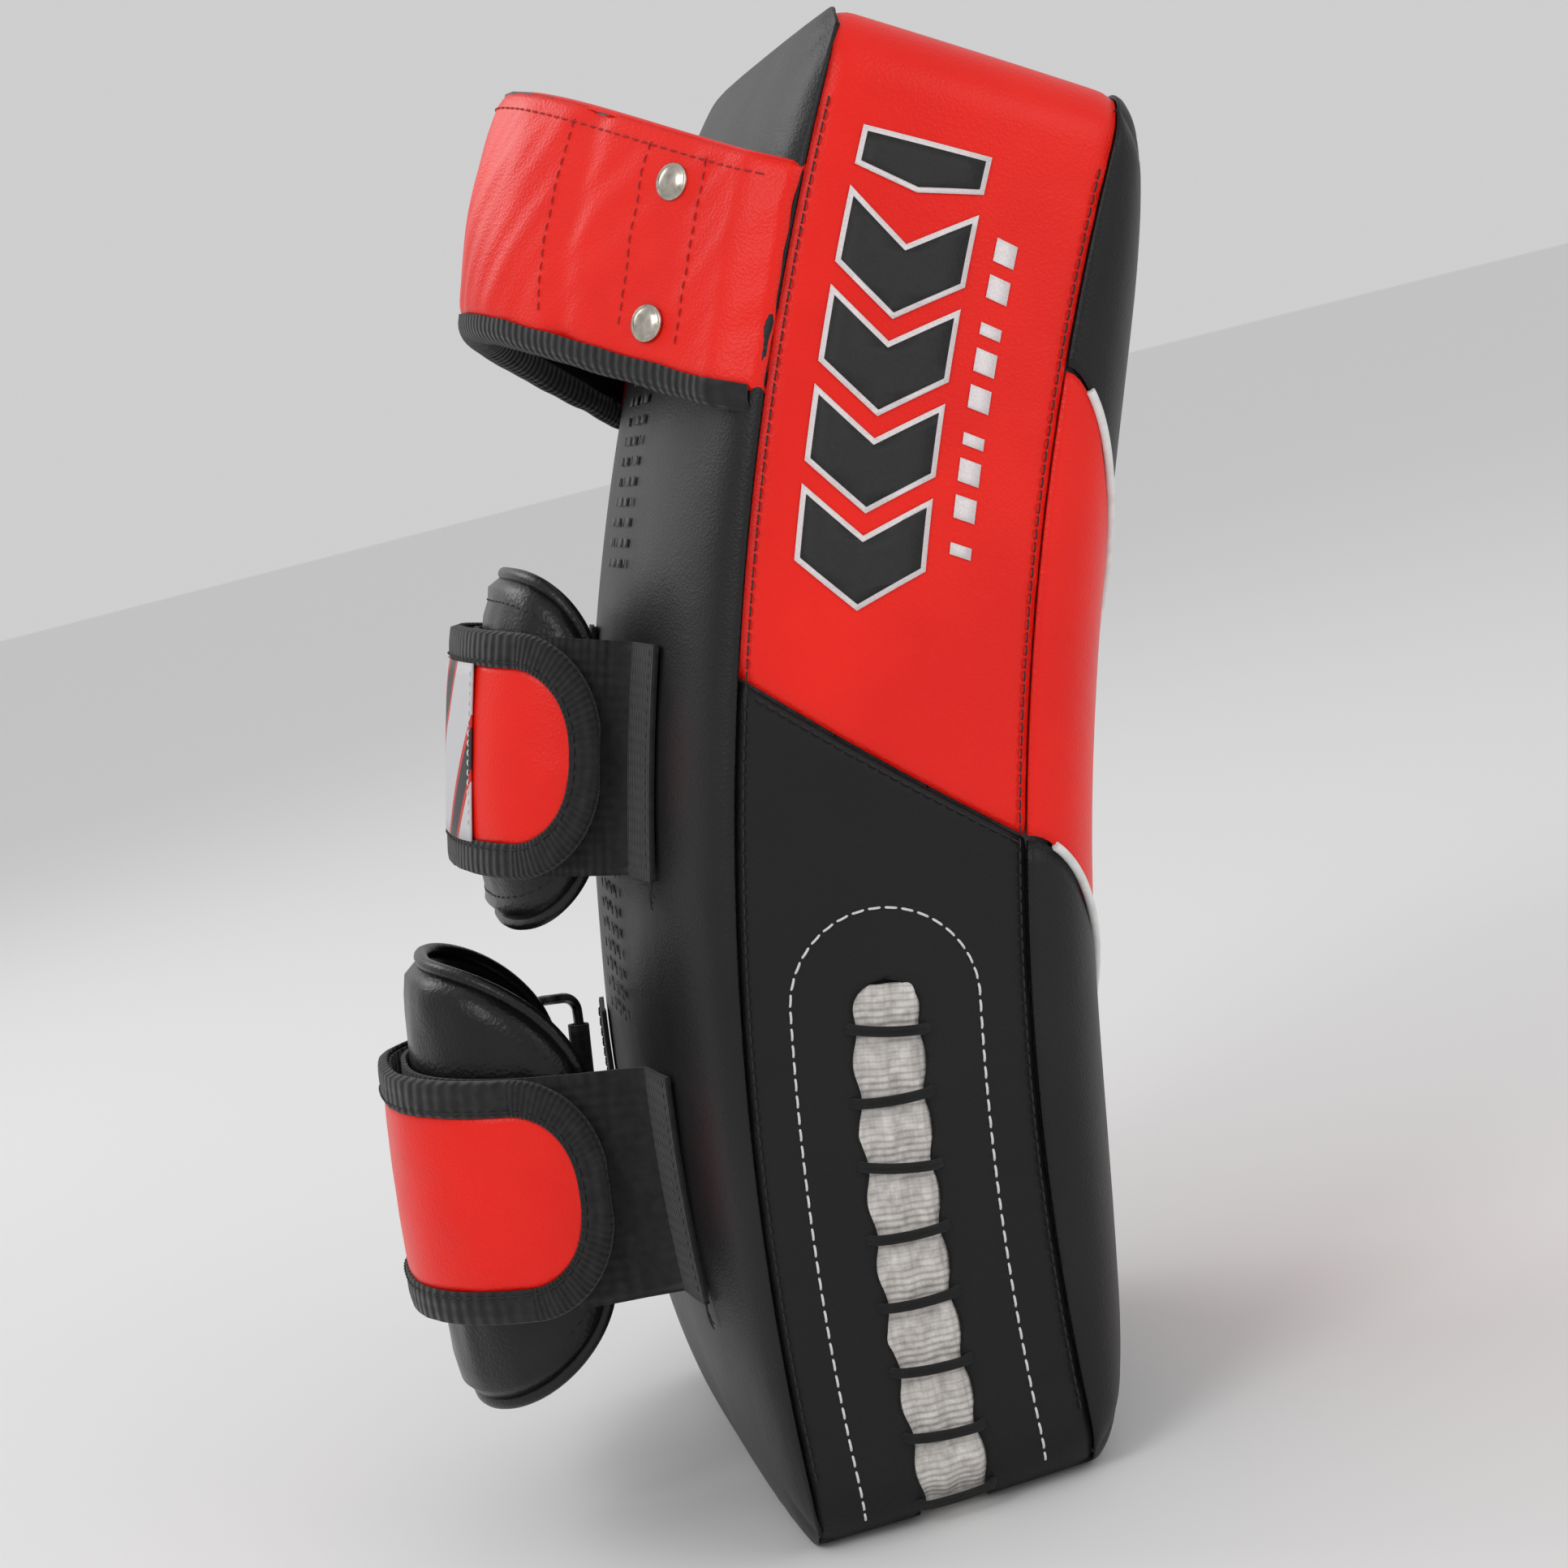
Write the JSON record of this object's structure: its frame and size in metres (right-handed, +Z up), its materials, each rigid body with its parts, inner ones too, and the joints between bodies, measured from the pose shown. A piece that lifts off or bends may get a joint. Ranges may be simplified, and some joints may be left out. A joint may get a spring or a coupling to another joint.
{
  "type": "thai pad",
  "caption": "Curved leather-covered foam striking pad with a grip handle on its back, hook-and-loop forearm straps with padded cuffs, and a laced side wall.",
  "frame": {"origin": "middle of the flat bottom end, on the surface that the pad stands on", "axes": "+Z up from the foot, -Y out of the strike face, +Y toward the handle and straps, -X toward the laced side"},
  "size_m": [0.2065, 0.251, 0.381],
  "materials": {
    "black_leather": "satin fine grain",
    "red_leather": "semi-gloss fine grain",
    "white_vinyl": "smooth vinyl piping",
    "firm_foam": "dense closed-cell foam",
    "soft_foam": "open-cell foam",
    "black_webbing": "ribbed woven webbing",
    "nickel": "worn nickel plate",
    "black_lace": "flat woven lace",
    "off_white_cloth": "ribbed woven tape, pleated",
    "black_hooks": "hook-and-loop tape",
    "dark_steel": "black nickel, worn bright",
    "grey_label": "satin woven label"
  },
  "bodies": {
    "root": {"back_cover": "black_leather", "face_chevron": "red_leather", "face_cover_lower": "black_leather", "face_cover_upper": "black_leather", "face_piping_lower": "white_vinyl", "face_piping_upper": "white_vinyl", "foam_back_layer": "firm_foam", "foam_core": "soft_foam", "foam_face_layer": "firm_foam", "handle_band": "red_leather", "handle_binding": "black_webbing", "handle_grip_pad": "soft_foam", "handle_lining": "black_leather", "handle_rivet_1": "nickel", "handle_rivet_2": "nickel", "handle_rivet_3": "nickel", "handle_rivet_4": "nickel", "lace_1": "black_lace", "lace_2": "black_lace", "lace_3": "black_lace", "lace_4": "black_lace", "lace_5": "black_lace", "lace_6": "black_lace", "lace_7": "black_lace", "lace_8": "black_lace", "lace_gusset_cloth": "off_white_cloth", "lower_base_strap": "black_webbing", "lower_cuff_lining": "black_leather", "lower_cuff_pad": "black_leather", "lower_far_patch": "black_webbing", "lower_near_patch": "black_webbing", "lower_ring_tab": "black_webbing", "upper_base_strap": "black_webbing", "upper_cuff_lining": "black_leather", "upper_cuff_pad": "black_leather", "upper_far_patch": "black_webbing", "upper_near_patch": "black_webbing", "upper_ring_tab": "black_webbing", "wall_black": "black_leather", "wall_red": "red_leather"},
    "upper_ring_body": {"upper_ring": "dark_steel"},
    "upper_strap_body": {"upper_outer_strap": "black_webbing", "upper_strap_panel": "red_leather", "upper_hook_patch": "black_hooks", "upper_label": "grey_label"},
    "lower_ring_body": {"lower_ring": "dark_steel"},
    "lower_strap_body": {"lower_outer_strap": "black_webbing", "lower_strap_panel": "red_leather", "lower_hook_patch": "black_hooks"}
  },
  "joints": [
    {"name": "upper_ring_swing", "type": "hinge", "parent": "root", "child": "upper_ring_body", "pos_m": [0.0515, 0.03381, 0.20484], "axis": [0, 0.2655, -0.9641], "range_deg": [0, 15]},
    {"name": "upper_strap_open", "type": "hinge", "parent": "upper_ring_body", "child": "upper_strap_body", "pos_m": [0.04849, 0.04417, 0.20769], "axis": [0, 0.2655, -0.9641], "range_deg": [0, 95]},
    {"name": "lower_ring_swing", "type": "hinge", "parent": "root", "child": "lower_ring_body", "pos_m": [0.0515, 0.05558, 0.09538], "axis": [0, 0.1236, -0.9923], "range_deg": [0, 15]},
    {"name": "lower_strap_open", "type": "hinge", "parent": "lower_ring_body", "child": "lower_strap_body", "pos_m": [0.04955, 0.06922, 0.09708], "axis": [0, 0.1236, -0.9923], "range_deg": [0, 95]}
  ],
  "couplings": [
    {"joint": "upper_ring_swing", "follows": "upper_strap_open", "ratio": 0.15},
    {"joint": "lower_ring_swing", "follows": "lower_strap_open", "ratio": 0.15}
  ]
}
